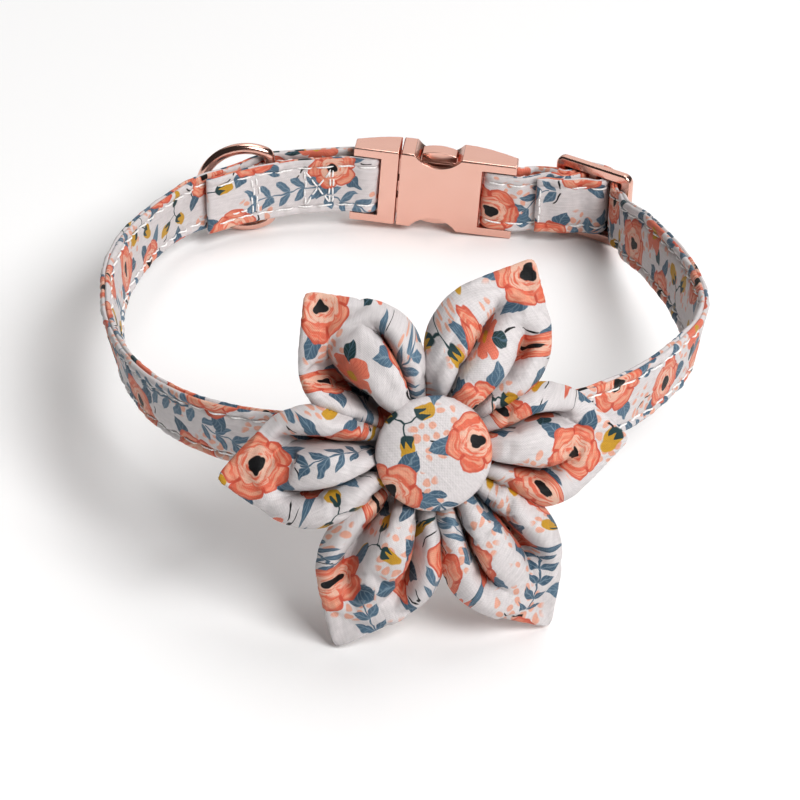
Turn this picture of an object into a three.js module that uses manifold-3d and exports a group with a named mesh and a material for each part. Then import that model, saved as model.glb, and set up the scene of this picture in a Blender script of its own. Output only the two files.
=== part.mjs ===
// A small dog collar, buckled and standing on its edge: one printed strap with a side-release buckle,
// a D-ring and a tri-glide slider at the back, and a gathered fabric flower on the front.
// Millimetres, +Z up, the flower faces -Y and the buckle is at +Y.
import * as THREE from 'three'
import { mergeVertices } from 'three/addons/utils/BufferGeometryUtils.js'
import Module from 'manifold-3d'

const wasm = await Module()
wasm.setup()

// ---------------------------------------------------------------- driving dimensions
const STRAP = { width: 15, thick: 2.2, pressed: 1.7, edgeRound: 0.6, spanSteps: 3 }
const GAP = 0.35

const BUCKLE = {
  corner: [-11.9, 79.6],
  yaw: -7,
  roll: 4,
  length: 39.5,
  height: 20.4,
  rail: 2.3,
  inner: 2.35,
  outer: 2.35,
  bulge: 3.5,
  taper: 13,
  bevel: 0.5,
}
const MALE = { end: 10.9, window: [2.4, 6.7], bar: [0.2, 2.4], barHalf: 1.1 }
const FEMALE = { start: 11.4, window: [31.2, 36.9], bar: [36.9, 39.1], barHalf: 1.1 }
const CAVITY = { to: 29.4, w: [-1.2, 4.2], wall: 1.5 }
const NOTCH = { at: 20.4, radius: 7, depth: 3.1 }
const PRONG = { to: 25.4, w: [-0.6, 3.6], tongueTo: 22, tongueHalf: 1.5, from: 3.3, high: 7.6 }
const PAD = { radius: 12, top: 10, half: 4.1, w: [0.4, 3.9] }

const SLIDER = {
  centre: [46, 73.2],
  yaw: -30,
  roll: 2,
  length: 20,
  height: 20.4,
  rail: 2.3,
  bar: 2.4,
  centreBar: 2,
  wrap: 2.5,
  turn: 0.4,
  thick: 2.2,
  corner: 2.2,
  bevel: 0.5,
}

const RING = { bar: [-31.9, 77.8], yaw: 184, wire: 2.7, radius: 10.7, toCentre: 6, corner: 2, sides: 12 }

const FLOWER = { centre: [5.1, -72, 41.1], pitch: 24, yaw: 8 }
const FLOWER_SEAT = [5.1, -65.6, 37.5]
const PETAL = {
  base: 5.5,
  halfWidth: 11,
  blunt: 0.6,
  wedge: 27.4,
  cloth: 1.6,
  rows: 11,
  columns: 12,
  ridge: 5.2,
}
const BUTTON = { radius: 11.9, base: 7.6, edge: 2.6, dome: 2.8 }
const BACKING = {
  radius: 10,
  back: -2.3,
  front: -0.4,
  hub: 5.15,
  foot: 6,
  loopWidth: 10.6,
  loopWall: 1.2,
  clear: 0.6,
}
// Brings the middle of the collar's box to the origin.
const CENTRING = [-0.1, 1.7, 0]

// The six petals, in degrees round the flower and millimetres: tip distance, how far the tip lies in
// front of the petal plane, and how deep the cup of the outer half is.
const PETALS = [
  { name: 'petal_1', angle: 124.8, reach: 40.6, tip: 1.0, cup: 3.0 },
  { name: 'petal_2', angle: 57.5, reach: 43.6, tip: 1.0, cup: 2.4 },
  { name: 'petal_3', angle: -2.3, reach: 41.2, tip: 1.0, cup: 2.0 },
  { name: 'petal_4', angle: -59.9, reach: 48.0, tip: -6.6, cup: 2.0 },
  { name: 'petal_5', angle: -116.4, reach: 46.6, tip: -6.2, cup: 2.6 },
  { name: 'petal_6', angle: -176.1, reach: 43.5, tip: 2.0, cup: 2.0 },
]

// The strap's middle line where it hangs free, from the D-ring round the front to the slider:
// x, y, z, and lean, the degrees by which its top edge tips outwards.
const HOOP = [
  [-48.1, 69.9, 12.3, 0],
  [-52.4, 63.8, 13.6, -8],
  [-55.6, 57, 14.9, -9],
  [-58.9, 48.5, 16.5, -4],
  [-61.7, 39, 18.3, 3],
  [-63.8, 29.5, 20.1, 6],
  [-64.8, 20, 21.9, 8],
  [-65.1, 11, 23.5, 10],
  [-64.5, 2, 25.2, 12],
  [-62.4, -16.5, 28.6, 11],
  [-57.3, -34.5, 31.9, 13],
  [-51, -47, 34.1, 12],
  [-42.4, -56.8, 35.9, 10],
  [-36, -61.3, 36.7, 8],
  [-29, -64.3, 37.2, 6],
  [-18, -66.3, 37.5, 3],
  [-6.5, -66.6, 37.6, 0],
  [5.1, -65.6, 37.5, 0],
  [14, -64.3, 37.3, 1],
  [21.7, -62.5, 36.9, 2],
  [34.5, -56.5, 35.9, 3],
  [45.5, -47.5, 34.2, 3],
  [52.9, -38, 32.5, 3],
  [58.6, -28, 30.7, 7],
  [62.9, -18, 28.9, 10],
  [64.9, -8, 27.1, 11],
  [64.9, 2, 25.2, 12],
  [63.8, 12, 23.4, 12],
  [62.1, 22, 21.6, 10],
  [59.4, 32, 19.8, 8],
  [56.5, 43, 17.4, 5],
  [54.2, 49.3, 15.6, 2],
  [52.8, 55, 13.8, 0],
  [52.1, 61.5, 12, 0],
]
// The doubled strap behind the D-ring, x, y, z: the short sewn layer inside, and the layer outside it.
const SEWN_LAYER = [
  [-46.7, 67.7, 12.2],
  [-42.2, 70.4, 12.2],
  [-37, 73.2, 12.2],
  [-31.3, 75.1, 12.3],
  [-25, 76.6, 12.5],
  [-17.5, 77.1, 12.8],
]
const OVER_RING = [
  [-17.5, 81.6, 12.8],
  [-24.5, 81.2, 12.5],
  [-29, 80.9, 12.3],
  [-32.5, 80.4, 12.3],
  [-35.8, 78.4, 12.2],
  [-39, 75.6, 12.2],
  [-43.4, 72.7, 12.2],
]

// The strap's weave through the slider, along and across the slider's plane (outwards is positive).
const INTO_SLIDER = [[8.2, -4.1], [6.1, -1.6], [5.2, 0.6], [4.2, 2.6], [2.7, 4.2]]
const OVER_SLIDER = [[0, 4.7], [-2.8, 4.3], [-4.4, 2.7], [-5.1, 0.7]]
const OUT_OF_SLIDER = [[-5.8, -1.2], [-7.1, -2.3], [-9.2, -2.5]]
const ROUND_CENTRE_BAR = [[-9, -4.8], [-6.5, -4.6], [-4.3, -2.8], [-3.1, -0.5], [-2.4, 1.2], [-1.4, 2.3]]
const TURNED_END = [[-1.3, -3], [-4, -5.3], [-6.6, -6.75], [-8.8, -7.5], [-10.9, -9]]

// ---------------------------------------------------------------- finishes
const FINISH = {
  print: { color: 0xe3d5d0, roughness: 0.85, metalness: 0 },
  roseGold: { color: 0xe3ad98, roughness: 0.3, metalness: 1 },
  felt: { color: 0xefe8e4, roughness: 0.95, metalness: 0 },
}

const rad = THREE.MathUtils.degToRad

function piece(name, geometry, finish) {
  const mesh = new THREE.Mesh(geometry, new THREE.MeshStandardMaterial(finish))
  mesh.name = name
  return mesh
}

// ---------------------------------------------------------------- solids
function solid(geometry, matrix) {
  const bare = geometry.clone()
  for (const attribute of ['normal', 'uv']) bare.deleteAttribute(attribute)
  if (matrix) bare.applyMatrix4(matrix)
  const merged = mergeVertices(bare, 1e-4)
  return new wasm.Manifold(
    new wasm.Mesh({
      numProp: 3,
      vertProperties: new Float32Array(merged.attributes.position.array),
      triVerts: new Uint32Array(merged.index.array),
    }),
  )
}

function geometryOf(manifold) {
  const mesh = manifold.getMesh()
  const geometry = new THREE.BufferGeometry()
  geometry.setAttribute('position', new THREE.BufferAttribute(new Float32Array(mesh.vertProperties), 3))
  geometry.setIndex(new THREE.BufferAttribute(new Uint32Array(mesh.triVerts), 1))
  geometry.computeVertexNormals()
  return geometry
}

// A block between two corners.
function block(low, high) {
  const size = high.map((value, axis) => value - low[axis])
  const middle = high.map((value, axis) => (value + low[axis]) / 2)
  return solid(new THREE.BoxGeometry(...size), new THREE.Matrix4().makeTranslation(...middle))
}

// A cylinder that runs along Y.
function roundAcross(radius, x, z, fromY, toY) {
  const cylinder = new THREE.CylinderGeometry(radius, radius, toY - fromY, 48)
  return solid(cylinder, new THREE.Matrix4().makeTranslation(x, (fromY + toY) / 2, z))
}

// A closed skin over a row of rings with equal numbers of points. A looped row joins its last ring to
// its first, and an open one is capped at both ends.
function skinOver(rings, looped) {
  const count = rings[0].length
  const positions = rings.flat().flatMap((point) => [point.x, point.y, point.z])
  const indices = []
  const spans = looped ? rings.length : rings.length - 1
  for (let ring = 0; ring < spans; ring++) {
    const here = ring * count
    const after = ((ring + 1) % rings.length) * count
    for (let k = 0; k < count; k++) {
      const next = (k + 1) % count
      indices.push(here + k, here + next, after + k, here + next, after + next, after + k)
    }
  }
  const last = (rings.length - 1) * count
  for (let k = 0; k < count / 2 - 1 && !looped; k++) {
    const [a, b, c, d] = [k, k + 1, count - 2 - k, count - 1 - k]
    indices.push(a, c, b, a, d, c)
    indices.push(last + a, last + b, last + c, last + a, last + c, last + d)
  }
  const geometry = new THREE.BufferGeometry()
  geometry.setAttribute('position', new THREE.Float32BufferAttribute(positions, 3))
  geometry.setIndex(indices)
  geometry.computeVertexNormals()
  return geometry
}

// ---------------------------------------------------------------- places on the hardware
// A local frame that stands upright: x along the part, y outwards, z up.
function standing(centre, height, yaw, roll) {
  const turn = new THREE.Matrix4().makeRotationZ(rad(yaw))
  turn.multiply(new THREE.Matrix4().makeRotationY(rad(roll)))
  turn.setPosition(centre[0], centre[1], height)
  return turn
}

const buckleFall = BUCKLE.length * Math.sin(rad(BUCKLE.roll))
const buckleMiddle = (BUCKLE.height / 2) * Math.cos(rad(BUCKLE.roll))
const buckleFrame = standing(BUCKLE.corner, buckleMiddle + buckleFall, BUCKLE.yaw, BUCKLE.roll)

const sliderDrop = (SLIDER.length / 2) * Math.sin(rad(SLIDER.roll))
const sliderMiddle = (SLIDER.height / 2) * Math.cos(rad(SLIDER.roll))
const sliderFrame = standing(SLIDER.centre, sliderMiddle + sliderDrop, SLIDER.yaw, SLIDER.roll)

// ---------------------------------------------------------------- the strap's route
// A station has a place, the direction of the strap's width there, and its thickness.
function onHardware(frame, points) {
  const up = new THREE.Vector3().setFromMatrixColumn(frame, 2)
  return points.map(([x, y]) => ({
    place: new THREE.Vector3(x, y, 0).applyMatrix4(frame),
    up,
    thick: STRAP.pressed,
  }))
}

function upright(points) {
  return points.map(([x, y, z]) => ({
    place: new THREE.Vector3(x, y, z),
    up: new THREE.Vector3(0, 0, 1),
    thick: STRAP.pressed,
  }))
}

function onHoop(rows) {
  const places = rows.map(([x, y, z]) => new THREE.Vector3(x, y, z))
  return rows.map(([, , , lean], i) => {
    const ahead = places[Math.min(i + 1, rows.length - 1)]
    const behind = places[Math.max(i - 1, 0)]
    const along = new THREE.Vector3().subVectors(ahead, behind).normalize()
    const outward = new THREE.Vector3(along.y, -along.x, 0).normalize()
    const up = new THREE.Vector3().crossVectors(outward, along)
    up.multiplyScalar(Math.cos(rad(lean))).addScaledVector(outward, Math.sin(rad(lean)))
    const end = i === 0 || i === rows.length - 1
    return { place: places[i], up, thick: end ? STRAP.pressed : STRAP.thick }
  })
}

// Points round a half turn, from one side of a bar to the other.
function halfTurn(centre, radius, fromAngle, toAngle) {
  const steps = 4
  return Array.from({ length: steps + 1 }, (_, i) => {
    const angle = rad(fromAngle + ((toAngle - fromAngle) * i) / steps)
    return [centre + radius * Math.cos(angle), radius * Math.sin(angle)]
  })
}

const wrap = MALE.barHalf + GAP + STRAP.pressed / 2
const maleTurn = MALE.window[1] - GAP - STRAP.pressed / 2 - wrap
const femaleTurn = FEMALE.window[0] + GAP + STRAP.pressed / 2 + wrap
const maleBar = (MALE.bar[0] + MALE.bar[1]) / 2
const femaleBar = (FEMALE.bar[0] + FEMALE.bar[1]) / 2
const beyondBuckle = BUCKLE.length + 0.8

function strapRoute() {
  const roundPlug = [[maleBar - 1, -wrap], ...halfTurn(maleTurn, wrap, -90, 90), [maleBar - 1, wrap]]
  const intoSocket = [[beyondBuckle + 3.2, wrap + 1.3], [beyondBuckle, wrap], [femaleBar, wrap]]
  const roundSocket = halfTurn(femaleTurn, wrap, 90, 270)
  const outOfSocket = [[femaleBar, -wrap], [beyondBuckle, -wrap - 0.1]]
  const centreTurn = halfTurn(SLIDER.turn, SLIDER.wrap, 90, -90)
  return [
    ...upright(SEWN_LAYER),
    ...onHardware(buckleFrame, roundPlug),
    ...upright(OVER_RING),
    ...onHoop(HOOP),
    ...onHardware(sliderFrame, [...INTO_SLIDER, ...OVER_SLIDER, ...OUT_OF_SLIDER]),
    ...onHardware(buckleFrame, [...intoSocket, ...roundSocket, ...outOfSocket]),
    ...onHardware(sliderFrame, [...ROUND_CENTRE_BAR, ...centreTurn, ...TURNED_END]),
  ]
}

// The strap's section: a flat band with softened edges.
function strapSection(thick) {
  const half = STRAP.width / 2
  const flat = half - STRAP.edgeRound
  const side = thick / 2
  const lip = thick * 0.2
  return [
    [side, flat], [lip, half], [-lip, half], [-side, flat],
    [-side, -flat], [-lip, -half], [lip, -half], [side, -flat],
  ]
}

// Lets the direction of the strap's width turn gradually from one station to the next.
function eased(stations) {
  const last = stations.length - 1
  return stations.map((station, i) => {
    const up = station.up.clone().multiplyScalar(2)
    up.add(stations[Math.max(i - 1, 0)].up).add(stations[Math.min(i + 1, last)].up)
    return { ...station, up: up.normalize() }
  })
}

function strap() {
  const stations = eased(eased(strapRoute()))
  const curve = new THREE.CatmullRomCurve3(stations.map((station) => station.place), false, 'centripetal')
  const count = (stations.length - 1) * STRAP.spanSteps
  const rings = []
  for (let i = 0; i <= count; i++) {
    const place = curve.getPoint(i / count)
    const along = curve.getTangent(i / count)
    const from = Math.min(Math.floor(i / STRAP.spanSteps), stations.length - 2)
    const share = i / STRAP.spanSteps - from
    const up = stations[from].up.clone().lerp(stations[from + 1].up, share).normalize()
    const side = new THREE.Vector3().crossVectors(up, along).normalize()
    const thick = THREE.MathUtils.lerp(stations[from].thick, stations[from + 1].thick, share)
    const corner = ([off, rise]) => place.clone().addScaledVector(side, off).addScaledVector(up, rise)
    rings.push(strapSection(thick).map(corner))
  }
  return piece('strap', skinOver(rings, false), FINISH.print)
}

// ---------------------------------------------------------------- the buckle
// The buckle's outer face bulges away from the neck, and thins towards both ends.
function buckleOuter(x) {
  const toEnd = Math.min(x, BUCKLE.length - x, BUCKLE.taper) / BUCKLE.taper
  return BUCKLE.outer + BUCKLE.bulge * Math.sin((toEnd * Math.PI) / 2)
}

function buckleBody(from, to) {
  const steps = 8
  const shape = new THREE.Shape()
  shape.moveTo(from, -BUCKLE.inner)
  shape.lineTo(to, -BUCKLE.inner)
  for (let i = 0; i <= steps; i++) {
    const x = to + ((from - to) * i) / steps
    shape.lineTo(x, buckleOuter(x))
  }
  const body = new THREE.ExtrudeGeometry(shape, {
    depth: BUCKLE.height - 2 * BUCKLE.bevel,
    bevelThickness: BUCKLE.bevel,
    bevelSize: BUCKLE.bevel,
    bevelOffset: -BUCKLE.bevel,
    bevelSegments: 2,
  })
  return solid(body, new THREE.Matrix4().makeTranslation(0, 0, BUCKLE.bevel - BUCKLE.height / 2))
}

const windowHalf = BUCKLE.height / 2 - BUCKLE.rail
const faceReach = 12

function strapWindow(from, to) {
  return block([from, -faceReach, -windowHalf], [to, faceReach, windowHalf])
}

function strapBar(bar, half) {
  return block([bar[0], -half, -windowHalf - 0.5], [bar[1], half, windowHalf + 0.5])
}

// The plug half: a U-shaped frame round its strap bar, with two sprung arms and a guide tongue.
function plugHalf() {
  let half = buckleBody(0, MALE.end)
  half = half.subtract(strapWindow(-1, MALE.window[1]))
  half = half.add(strapBar(MALE.bar, MALE.barHalf))
  const [inner, outer] = PRONG.w
  half = half.add(block([MALE.end - 1, inner, -PRONG.tongueHalf], [PRONG.tongueTo, outer, PRONG.tongueHalf]))
  for (const side of [-1, 1]) {
    const ends = [side * PRONG.from, side * PRONG.high]
    half = half.add(block([MALE.end - 1, inner, Math.min(...ends)], [PRONG.to, outer, Math.max(...ends)]))
    half = half.add(pressPad(side))
  }
  return piece('buckle_plug', geometryOf(half), FINISH.roseGold)
}

// The rounded pad that the thumb presses, in the notch of the socket half.
function pressPad(side) {
  const [inner, outer] = PAD.w
  const pad = roundAcross(PAD.radius, NOTCH.at, side * (PAD.top - PAD.radius), inner, outer)
  const ends = [side * PRONG.from, side * BUCKLE.height]
  const kept = block([0, inner - 1, Math.min(...ends)], [BUCKLE.length, outer + 1, Math.max(...ends)])
  const [from, to] = [NOTCH.at - PAD.half, NOTCH.at + PAD.half]
  const middle = block([from, inner - 1, -BUCKLE.height], [to, outer + 1, BUCKLE.height])
  return pad.intersect(kept).intersect(middle)
}

// The socket half: a hollow housing with a notch at its top and bottom edges, and its strap bar.
function socketHalf() {
  let half = buckleBody(FEMALE.start, BUCKLE.length)
  const roof = BUCKLE.height / 2 - CAVITY.wall
  half = half.subtract(block([FEMALE.start - 1, CAVITY.w[0], -roof], [CAVITY.to, CAVITY.w[1], roof]))
  half = half.subtract(strapWindow(FEMALE.window[0], BUCKLE.length + 1))
  half = half.add(strapBar(FEMALE.bar, FEMALE.barHalf))
  const centre = BUCKLE.height / 2 - NOTCH.depth + NOTCH.radius
  for (const side of [-1, 1]) {
    half = half.subtract(roundAcross(NOTCH.radius, NOTCH.at, side * centre, -faceReach, faceReach))
  }
  return piece('buckle_socket', geometryOf(half), FINISH.roseGold)
}

function buckle() {
  const group = new THREE.Group()
  group.add(plugHalf(), socketHalf())
  group.applyMatrix4(buckleFrame)
  return group
}

// ---------------------------------------------------------------- slider and D-ring
function roundedFrame(length, height, radius) {
  const x = length / 2
  const z = height / 2
  const shape = new THREE.Shape()
  shape.moveTo(-x + radius, -z)
  shape.lineTo(x - radius, -z)
  shape.absarc(x - radius, -z + radius, radius, -Math.PI / 2, 0)
  shape.lineTo(x, z - radius)
  shape.absarc(x - radius, z - radius, radius, 0, Math.PI / 2)
  shape.lineTo(-x + radius, z)
  shape.absarc(-x + radius, z - radius, radius, Math.PI / 2, Math.PI)
  shape.lineTo(-x, -z + radius)
  shape.absarc(-x + radius, -z + radius, radius, Math.PI, 1.5 * Math.PI)
  return shape
}

// The tri-glide: a flat frame with two windows and a bar between them.
function slider() {
  const bevel = SLIDER.bevel
  const plate = new THREE.ExtrudeGeometry(roundedFrame(SLIDER.length, SLIDER.height, SLIDER.corner), {
    depth: SLIDER.thick - 2 * bevel,
    bevelThickness: bevel,
    bevelSize: bevel,
    bevelOffset: -bevel,
    bevelSegments: 2,
    curveSegments: 6,
  })
  const stand = new THREE.Matrix4().makeRotationX(Math.PI / 2)
  stand.multiply(new THREE.Matrix4().makeTranslation(0, 0, bevel - SLIDER.thick / 2))
  let frame = solid(plate, stand)
  const high = SLIDER.height / 2 - SLIDER.rail
  const near = SLIDER.centreBar / 2
  const far = SLIDER.length / 2 - SLIDER.bar
  frame = frame.subtract(block([near, -faceReach, -high], [far, faceReach, high]))
  frame = frame.subtract(block([-far, -faceReach, -high], [-near, faceReach, high]))
  const mesh = piece('slider', geometryOf(frame), FINISH.roseGold)
  mesh.applyMatrix4(sliderFrame)
  return mesh
}

// The points of a bend in the upright plane of the D-ring.
function bend(x, z, radius, fromAngle, toAngle, steps) {
  return Array.from({ length: steps + 1 }, (_, i) => {
    const angle = rad(fromAngle + ((toAngle - fromAngle) * i) / steps)
    return new THREE.Vector3(x + radius * Math.cos(angle), 0, z + radius * Math.sin(angle))
  })
}

// The D-ring's wire: a straight bar on the ring's own axis, two rounded corners and a round bow.
function dRing() {
  const { radius, toCentre, corner } = RING
  const high = Math.sqrt((radius - corner) ** 2 - (toCentre - corner) ** 2)
  const meets = 180 - THREE.MathUtils.radToDeg(Math.atan2(high, toCentre - corner))
  const route = [
    ...bend(corner, -high, corner, 360 - meets, 180, 4),
    new THREE.Vector3(0, 0, 0),
    ...bend(corner, high, corner, 180, meets, 4),
    ...bend(toCentre, 0, radius, meets, -meets, 28).slice(1, -1),
  ]
  const across = new THREE.Vector3(0, 1, 0)
  const rings = route.map((point, i) => {
    const before = route[(i + route.length - 1) % route.length]
    const after = route[(i + 1) % route.length]
    const inward = new THREE.Vector3().subVectors(after, before).normalize().cross(across)
    return Array.from({ length: RING.sides }, (_, k) => {
      const angle = (2 * Math.PI * k) / RING.sides
      const place = point.clone().addScaledVector(across, (RING.wire / 2) * Math.cos(angle))
      return place.addScaledVector(inward, (RING.wire / 2) * Math.sin(angle))
    })
  })
  const mesh = piece('d_ring', skinOver(rings, true), FINISH.roseGold)
  mesh.rotation.z = rad(RING.yaw)
  mesh.position.set(RING.bar[0], RING.bar[1], radius + RING.wire / 2)
  return mesh
}

// ---------------------------------------------------------------- the flower
// Half the petal's width, as a share of its widest, from its gathered foot (0) to its tip (1).
function petalOutline(along) {
  const swell = Math.sin(Math.PI * along ** 1.15) ** 0.85
  return 0.3 * (1 - along) ** 2 + swell * (1 - 0.12 * along)
}

// The petal's upper face above the petal plane, from its foot (0) to its tip (1) and from edge to edge
// (-1 to 1): two outer folds and a middle ridge that fade into a shallow cup.
function petalHeight(petal, along, across) {
  const pleat = 1 - THREE.MathUtils.smoothstep(along, 0.25, 0.72)
  const ridge = Math.exp(-((across / 0.3) ** 2))
  const fold = 0.7 * Math.exp(-(((Math.abs(across) - 0.75) / 0.3) ** 2))
  const cup = petal.cup * Math.sin(Math.PI * along) * (across * across - 0.4) * (1 - pleat)
  const fall = petal.tip * along ** 2
  const body = 2.4 - 1.6 * along + 1.2 * Math.sin(Math.PI * along)
  const rise = 0.3 + 0.7 * THREE.MathUtils.smoothstep(along, 0, 0.3)
  return body + fall + cup + PETAL.ridge * pleat * rise * Math.max(ridge, fold)
}

function petalRing(petal, along) {
  const radius = THREE.MathUtils.lerp(PETAL.base, petal.reach - 0.3, along)
  const room = radius * Math.tan(rad(PETAL.wedge)) - 0.1
  const half = Math.min(PETAL.halfWidth * petalOutline(along) + PETAL.blunt, room)
  const steps = PETAL.columns
  const upper = Array.from({ length: steps + 1 }, (_, k) => {
    const across = -1 + (2 * k) / steps
    return new THREE.Vector3(radius, half * across, petalHeight(petal, along, across))
  })
  const under = upper.map((point) => {
    return new THREE.Vector3(point.x, point.y * 0.97, point.z - PETAL.cloth)
  })
  return [...under, ...upper.reverse()]
}

function petal(row) {
  const rings = Array.from({ length: PETAL.rows + 1 }, (_, i) => petalRing(row, i / PETAL.rows))
  const mesh = piece(row.name, skinOver(rings, false), FINISH.print)
  mesh.rotation.z = rad(row.angle)
  return mesh
}

// The covered button: a shallow dome with a rolled rim.
function button() {
  const rim = 1.3
  const arc = (from, to, radius, height, centre, steps) => {
    return Array.from({ length: steps + 1 }, (_, i) => {
      const angle = rad(from + ((to - from) * i) / steps)
      return new THREE.Vector2(centre + radius * Math.cos(angle), height + radius * Math.sin(angle))
    })
  }
  const top = BUTTON.edge + BUTTON.dome
  const shoulder = Array.from({ length: 7 }, (_, i) => {
    const share = (6 - i) / 7
    const reach = (BUTTON.radius - rim) * share
    return new THREE.Vector2(reach, top - (BUTTON.dome - 0.4) * share ** 2)
  })
  const profile = [
    new THREE.Vector2(0, 0),
    ...arc(-90, 60, rim, rim, BUTTON.radius - rim, 5),
    ...shoulder,
  ]
  profile[profile.length - 1].x = 0
  const mesh = piece('flower_button', new THREE.LatheGeometry(profile, 32), FINISH.print)
  mesh.rotation.x = Math.PI / 2
  mesh.position.z = BUTTON.base
  return mesh
}

// The flower's own frame: x to its right, y up its face, z out of its face.
const flowerFrame = (() => {
  const turn = new THREE.Matrix4().makeRotationZ(rad(FLOWER.yaw))
  turn.multiply(new THREE.Matrix4().makeRotationX(rad(90 - FLOWER.pitch)))
  return turn.setPosition(...FLOWER.centre)
})()

// A round disc or stem along the flower's axis.
function stem(radius, fromHeight, toHeight, sides) {
  const turn = new THREE.Matrix4().makeTranslation(0, 0, (fromHeight + toHeight) / 2)
  turn.multiply(new THREE.Matrix4().makeRotationX(Math.PI / 2))
  turn.premultiply(flowerFrame)
  return solid(new THREE.CylinderGeometry(radius, radius, toHeight - fromHeight, sides), turn)
}

// A block on the strap behind the flower, between two corners: x along the strap and y across it.
function seatBlock(low, high) {
  const seat = new THREE.Matrix4().makeRotationZ(rad(FLOWER.yaw)).setPosition(...FLOWER_SEAT)
  return block(low, high).transform(seat.elements)
}

// Felt disc, stitched hub and the elastic loop that holds the flower on the strap.
function backing() {
  const disc = stem(BACKING.radius, BACKING.back, BACKING.front, 40)
  const hub = stem(BACKING.hub, BACKING.back - BACKING.foot, BUTTON.base - 0.3, 24)
  const across = STRAP.thick / 2 + BACKING.clear
  const along = STRAP.width / 2 + BACKING.clear
  const [half, deep, tall] = [BACKING.loopWidth / 2, across + BACKING.loopWall, along + BACKING.loopWall]
  const loop = seatBlock([-half, -deep, -tall], [half, deep, tall])
  const strapRoom = seatBlock([-2 * half, -across, -along], [2 * half, across, along])
  const behindStrap = seatBlock([-30, -across - BACKING.loopWall / 2, -60], [30, 30, 60])
  const front = disc.add(hub).subtract(behindStrap)
  return piece('flower_backing', geometryOf(front.add(loop).subtract(strapRoom)), FINISH.felt)
}

function flower() {
  const group = new THREE.Group()
  group.add(...PETALS.map(petal), button())
  group.applyMatrix4(flowerFrame)
  return group
}

const collar = new THREE.Group()
collar.add(strap(), buckle(), slider(), dRing(), flower(), backing())
collar.position.set(...CENTRING)
export default collar
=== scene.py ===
from math import atan2, cos, degrees, pi, radians, sin, sqrt, tan
from types import SimpleNamespace as Sizes

import bmesh
import bpy
import numpy as np
from mathutils import Matrix
from numpy.linalg import inv, norm


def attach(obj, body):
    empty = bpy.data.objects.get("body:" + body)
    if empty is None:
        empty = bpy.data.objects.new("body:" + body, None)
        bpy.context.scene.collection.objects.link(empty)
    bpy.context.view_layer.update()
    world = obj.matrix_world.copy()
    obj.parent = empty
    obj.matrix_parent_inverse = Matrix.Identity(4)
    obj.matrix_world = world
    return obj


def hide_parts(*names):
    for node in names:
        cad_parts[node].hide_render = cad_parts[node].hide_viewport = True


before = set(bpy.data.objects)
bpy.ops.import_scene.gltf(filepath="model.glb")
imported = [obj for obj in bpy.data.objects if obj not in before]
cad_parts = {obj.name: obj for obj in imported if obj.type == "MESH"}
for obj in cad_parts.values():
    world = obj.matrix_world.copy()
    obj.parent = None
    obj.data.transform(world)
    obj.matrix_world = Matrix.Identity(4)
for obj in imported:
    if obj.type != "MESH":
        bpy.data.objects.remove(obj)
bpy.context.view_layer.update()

# ---- Driving dimensions, in millimetres and degrees.
MM = 0.001
CENTRING = np.array([-0.1, 1.7, 0.0])

STRAP = Sizes(width=15, thick=2.2, pressed=1.7, step=0.7, row=5.35, pitch=5.0, end=0.9)
GAP = 0.35
SNUG = 0.08
THREAD = Sizes(radius=0.23, stitch=4.1, sides=6)
SEWN_AT = Sizes(box=(-23.6, -15.4), ring=-35.6, fold=-41)

# The print's repeat and scale, the threads' spacing, and the places on the printed cloth that the
# strap's inner face, the petals' backs and the button are cut from.
PRINT = Sizes(repeat=17.6, scale=1.2, weave=0.46, lattice=17)
CUT_AT = Sizes(inner=61.3, back=150, button=(207.5, 139), slant=48)

BUCKLE = Sizes(at=(-11.9, 79.6), yaw=-7, roll=4, start=0, end=39.5, height=20.4, eased=0.32)
PLUG_BAR = Sizes(window=6.7, start=0.2, end=2.4, half=1.1)
SOCKET_BAR = Sizes(window=31.2, start=36.9, end=39.1)

SLIDER = Sizes(at=(46, 73.2), yaw=-30, roll=2, start=-10, end=10, height=20.4, eased=0.3)
SLIDER_TURN = Sizes(wrap=2.5, at=0.4)
RING = Sizes(bar=(-31.9, 77.8), yaw=184, wire=2.7, radius=10.7, to_centre=6, corner=2)

FLOWER = Sizes(centre=(5.1, -72, 41.1), pitch=24, yaw=8, seat=(5.1, -65.6, 37.5))
PETAL = Sizes(base=5.5, half=11.4, blunt=0.25, cloth=1.7, ridge=7.2, sunk=3.9, gap=0.06)
GRID = Sizes(rows=60, columns=73)
FILL = Sizes(enlarged=20, frames=20, pressure=2, slack=-0.06, reach=0.9)
BUTTON = Sizes(radius=11.9, base=7.6, edge=2.6, dome=2.8, rim=1.4, height=1.5)
BACKING = Sizes(
    radius=10, back=-2.3, front=-0.4, hub=5.15, loop=10.6, wall=1.2, clear=0.6, rib=0.9
)

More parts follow.
